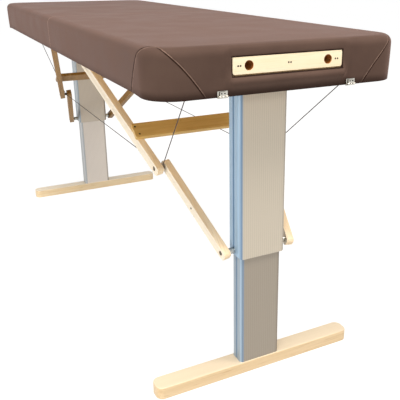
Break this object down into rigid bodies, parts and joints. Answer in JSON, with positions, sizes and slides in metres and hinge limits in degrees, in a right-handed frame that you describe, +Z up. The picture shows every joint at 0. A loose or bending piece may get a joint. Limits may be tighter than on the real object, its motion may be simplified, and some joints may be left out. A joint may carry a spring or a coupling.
{
  "type": "electric massage table",
  "caption": "Padded folding massage table on motor-driven lifting columns with wooden feet, hinged wooden braces, wire cables and a headrest socket plate.",
  "frame": {"origin": "on the floor, midway between the two feet, under the middle of the table top", "axes": "+X across the table, +Y along it away from the headrest end, +Z up"},
  "size_m": [0.65, 1.9648, 0.913],
  "materials": {
    "vinyl": "matt brown vinyl, fine grain",
    "foam": "open upholstery foam",
    "plywood": "unfinished plywood",
    "frame_wood": "planed softwood",
    "beech": "clear lacquered light beech",
    "birch_plate": "clear lacquered birch plywood",
    "anodised_aluminium": "satin anodised extrusion",
    "cast_aluminium": "cast",
    "bright_steel": "zinc plated",
    "dark_steel": "black oxide",
    "cable_steel": "bare wire rope",
    "nickel": "nickel plated",
    "guide_plastic": "moulded",
    "motor_metal": "painted can",
    "box_plastic": "moulded"
  },
  "bodies": {
    "near_pad": {"near_cover": "vinyl", "near_foam": "foam", "near_deck": "plywood", "near_end_rail": "frame_wood", "near_side_rails": "frame_wood", "near_fold_rail": "frame_wood", "near_leg_bracket": "dark_steel", "near_leg_pin": "bright_steel", "near_link_pivots": "dark_steel", "near_end_cables": "cable_steel", "near_fold_hinges": "bright_steel", "headrest_plate": "birch_plate", "headrest_block": "frame_wood", "latch_bases": "nickel", "knee_cables": "cable_steel"},
    "near_leg": {"near_outer_tube": "anodised_aluminium", "near_column_spacers": "bright_steel", "near_column_head": "cast_aluminium", "near_guide_bush": "guide_plastic", "near_lift_motor": "motor_metal", "near_lift_spindle": "bright_steel"},
    "near_foot": {"near_inner_tube": "anodised_aluminium", "near_spindle_nut": "guide_plastic", "near_foot_plug": "cast_aluminium", "near_foot_beam": "beech"},
    "near_upper_brace": {"near_upper_links": "beech", "near_brace_board": "beech", "near_knee_bolts": "dark_steel"},
    "near_lower_brace": {"near_lower_links": "beech", "near_column_bolts": "dark_steel"},
    "far_pad": {"far_cover": "vinyl", "far_foam": "foam", "far_deck": "plywood", "far_end_rail": "frame_wood", "far_side_rails": "frame_wood", "far_fold_rail": "frame_wood", "far_leg_bracket": "dark_steel", "far_leg_pin": "bright_steel", "far_link_pivots": "dark_steel", "far_end_cables": "cable_steel", "far_fold_hinges": "bright_steel", "latch_catches": "nickel", "control_box": "box_plastic"},
    "far_leg": {"far_outer_tube": "anodised_aluminium", "far_column_spacers": "bright_steel", "far_column_head": "cast_aluminium", "far_guide_bush": "guide_plastic", "far_lift_motor": "motor_metal", "far_lift_spindle": "bright_steel"},
    "far_foot": {"far_inner_tube": "anodised_aluminium", "far_spindle_nut": "guide_plastic", "far_foot_plug": "cast_aluminium", "far_foot_beam": "beech"},
    "far_upper_brace": {"far_upper_links": "beech", "far_brace_board": "beech", "far_knee_bolts": "dark_steel"},
    "far_lower_brace": {"far_lower_links": "beech", "far_column_bolts": "dark_steel"},
    "left_latch": {"latch_lever_left": "nickel"},
    "right_latch": {"latch_lever_right": "nickel"}
  },
  "joints": [
    {"name": "pad_fold", "type": "hinge", "parent": "near_pad", "child": "far_pad", "pos_m": [0, 0, 0.806], "axis": [-1, 0, 0], "range_deg": [0, 85]},
    {"name": "near_leg_fold", "type": "hinge", "parent": "near_pad", "child": "near_leg", "pos_m": [0, -0.834, 0.815], "axis": [1, 0, 0], "range_deg": [0, 85], "deforming": ["near_end_cables", "knee_cables"]},
    {"name": "near_lift", "type": "slide", "parent": "near_leg", "child": "near_foot", "axis": [0, 0, 1], "range_m": [0, 0.3]},
    {"name": "near_upper_brace_turn", "type": "hinge", "parent": "near_pad", "child": "near_upper_brace", "pos_m": [0, -0.18, 0.827], "axis": [-1, 0, 0], "range_deg": [0, 35.13]},
    {"name": "near_knee_turn", "type": "hinge", "parent": "near_upper_brace", "child": "near_lower_brace", "pos_m": [0, -0.59014, 0.53852], "axis": [1, 0, 0], "range_deg": [0, 170.15]},
    {"name": "far_leg_fold", "type": "hinge", "parent": "far_pad", "child": "far_leg", "pos_m": [0, 0.834, 0.815], "axis": [-1, 0, 0], "range_deg": [0, 85], "deforming": ["far_end_cables"]},
    {"name": "far_lift", "type": "slide", "parent": "far_leg", "child": "far_foot", "axis": [0, 0, 1], "range_m": [0, 0.3]},
    {"name": "far_upper_brace_turn", "type": "hinge", "parent": "far_pad", "child": "far_upper_brace", "pos_m": [0, 0.18, 0.827], "axis": [1, 0, 0], "range_deg": [0, 35.13]},
    {"name": "far_knee_turn", "type": "hinge", "parent": "far_upper_brace", "child": "far_lower_brace", "pos_m": [0, 0.59014, 0.53852], "axis": [-1, 0, 0], "range_deg": [0, 170.15]},
    {"name": "left_latch_turn", "type": "hinge", "parent": "near_pad", "child": "left_latch", "pos_m": [-0.167, -0.9799, 0.806], "axis": [1, 0, 0], "range_deg": [0, 120]},
    {"name": "right_latch_turn", "type": "hinge", "parent": "near_pad", "child": "right_latch", "pos_m": [0.167, -0.9799, 0.806], "axis": [1, 0, 0], "range_deg": [0, 120]}
  ],
  "couplings": [
    {"joint": "near_upper_brace_turn", "follows": "near_leg_fold", "ratio": 0.41319},
    {"joint": "near_knee_turn", "follows": "near_leg_fold", "ratio": 2.0017},
    {"joint": "far_upper_brace_turn", "follows": "near_leg_fold", "ratio": 0.41319},
    {"joint": "far_knee_turn", "follows": "near_leg_fold", "ratio": 2.0017},
    {"joint": "far_leg_fold", "follows": "near_leg_fold", "ratio": 1},
    {"joint": "far_lift", "follows": "near_lift", "ratio": 1}
  ]
}
